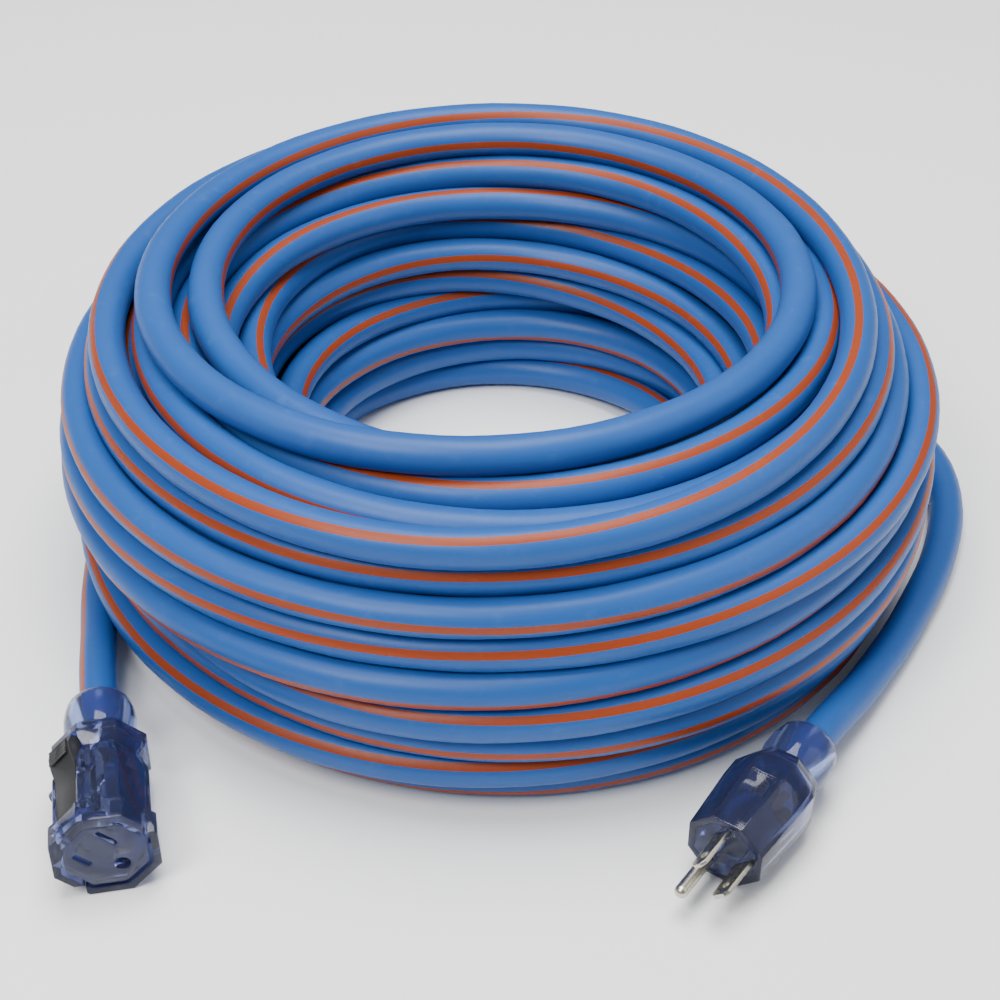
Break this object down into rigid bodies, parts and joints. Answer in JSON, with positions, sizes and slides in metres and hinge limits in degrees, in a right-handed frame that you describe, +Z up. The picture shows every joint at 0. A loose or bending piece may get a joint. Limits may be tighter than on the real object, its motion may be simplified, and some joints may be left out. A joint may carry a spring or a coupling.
{
  "type": "extension cord",
  "caption": "Heavy-duty outdoor extension cord in a loose round coil, with a moulded three-prong plug and a locking connector.",
  "frame": {"origin": "centre of the coil's eye, on the surface that the coil stands on", "axes": "+Z up along the coil's axis; -Y towards the side where the plug and the connector lie; +X towards the plug"},
  "size_m": [0.3698, 0.3904, 0.134],
  "materials": {
    "jacket": "satin",
    "clear_blue": "gloss",
    "carrier_plastic": "satin",
    "nickel_plate": "polished",
    "contact_brass": "satin",
    "spring_steel": "satin",
    "black_nylon": "matte",
    "line_insulation": "satin",
    "neutral_insulation": "satin",
    "ground_insulation": "satin",
    "lamp_glass": "gloss",
    "resistor_body": "matte"
  },
  "bodies": {
    "cord_set": {"cord_coil": "jacket", "plug_tail": "jacket", "connector_tail": "jacket", "plug_body": "clear_blue", "plug_strain_relief": "clear_blue", "plug_bridge": "carrier_plastic", "line_blade": "nickel_plate", "neutral_blade": "nickel_plate", "ground_pin": "nickel_plate", "plug_crimps": "contact_brass", "plug_line_wire": "line_insulation", "plug_neutral_wire": "neutral_insulation", "plug_ground_wire": "ground_insulation", "plug_lamp": "lamp_glass", "plug_resistor": "resistor_body", "connector_body": "clear_blue", "connector_strain_relief": "clear_blue", "connector_face": "clear_blue", "contact_carrier": "carrier_plastic", "line_contact": "contact_brass", "neutral_contact": "contact_brass", "ground_contact": "contact_brass", "connector_crimps": "contact_brass", "connector_line_wire": "line_insulation", "connector_neutral_wire": "neutral_insulation", "connector_ground_wire": "ground_insulation", "connector_lamp": "lamp_glass", "connector_resistor": "resistor_body", "lever_pin": "spring_steel", "lever_spring": "spring_steel"},
    "lever": {"lock_lever": "black_nylon", "lock_plate": "spring_steel"}
  },
  "joints": [
    {"name": "lever_pivot", "type": "hinge", "parent": "cord_set", "child": "lever", "pos_m": [-0.14602, -0.17796, 0.02747], "axis": [-0.6941, -0.1349, -0.7071], "range_deg": [0, 7], "stiffness_Nm_per_rad": 0.6, "springref_deg": -11.46, "deforming": ["lever_spring"]}
  ]
}
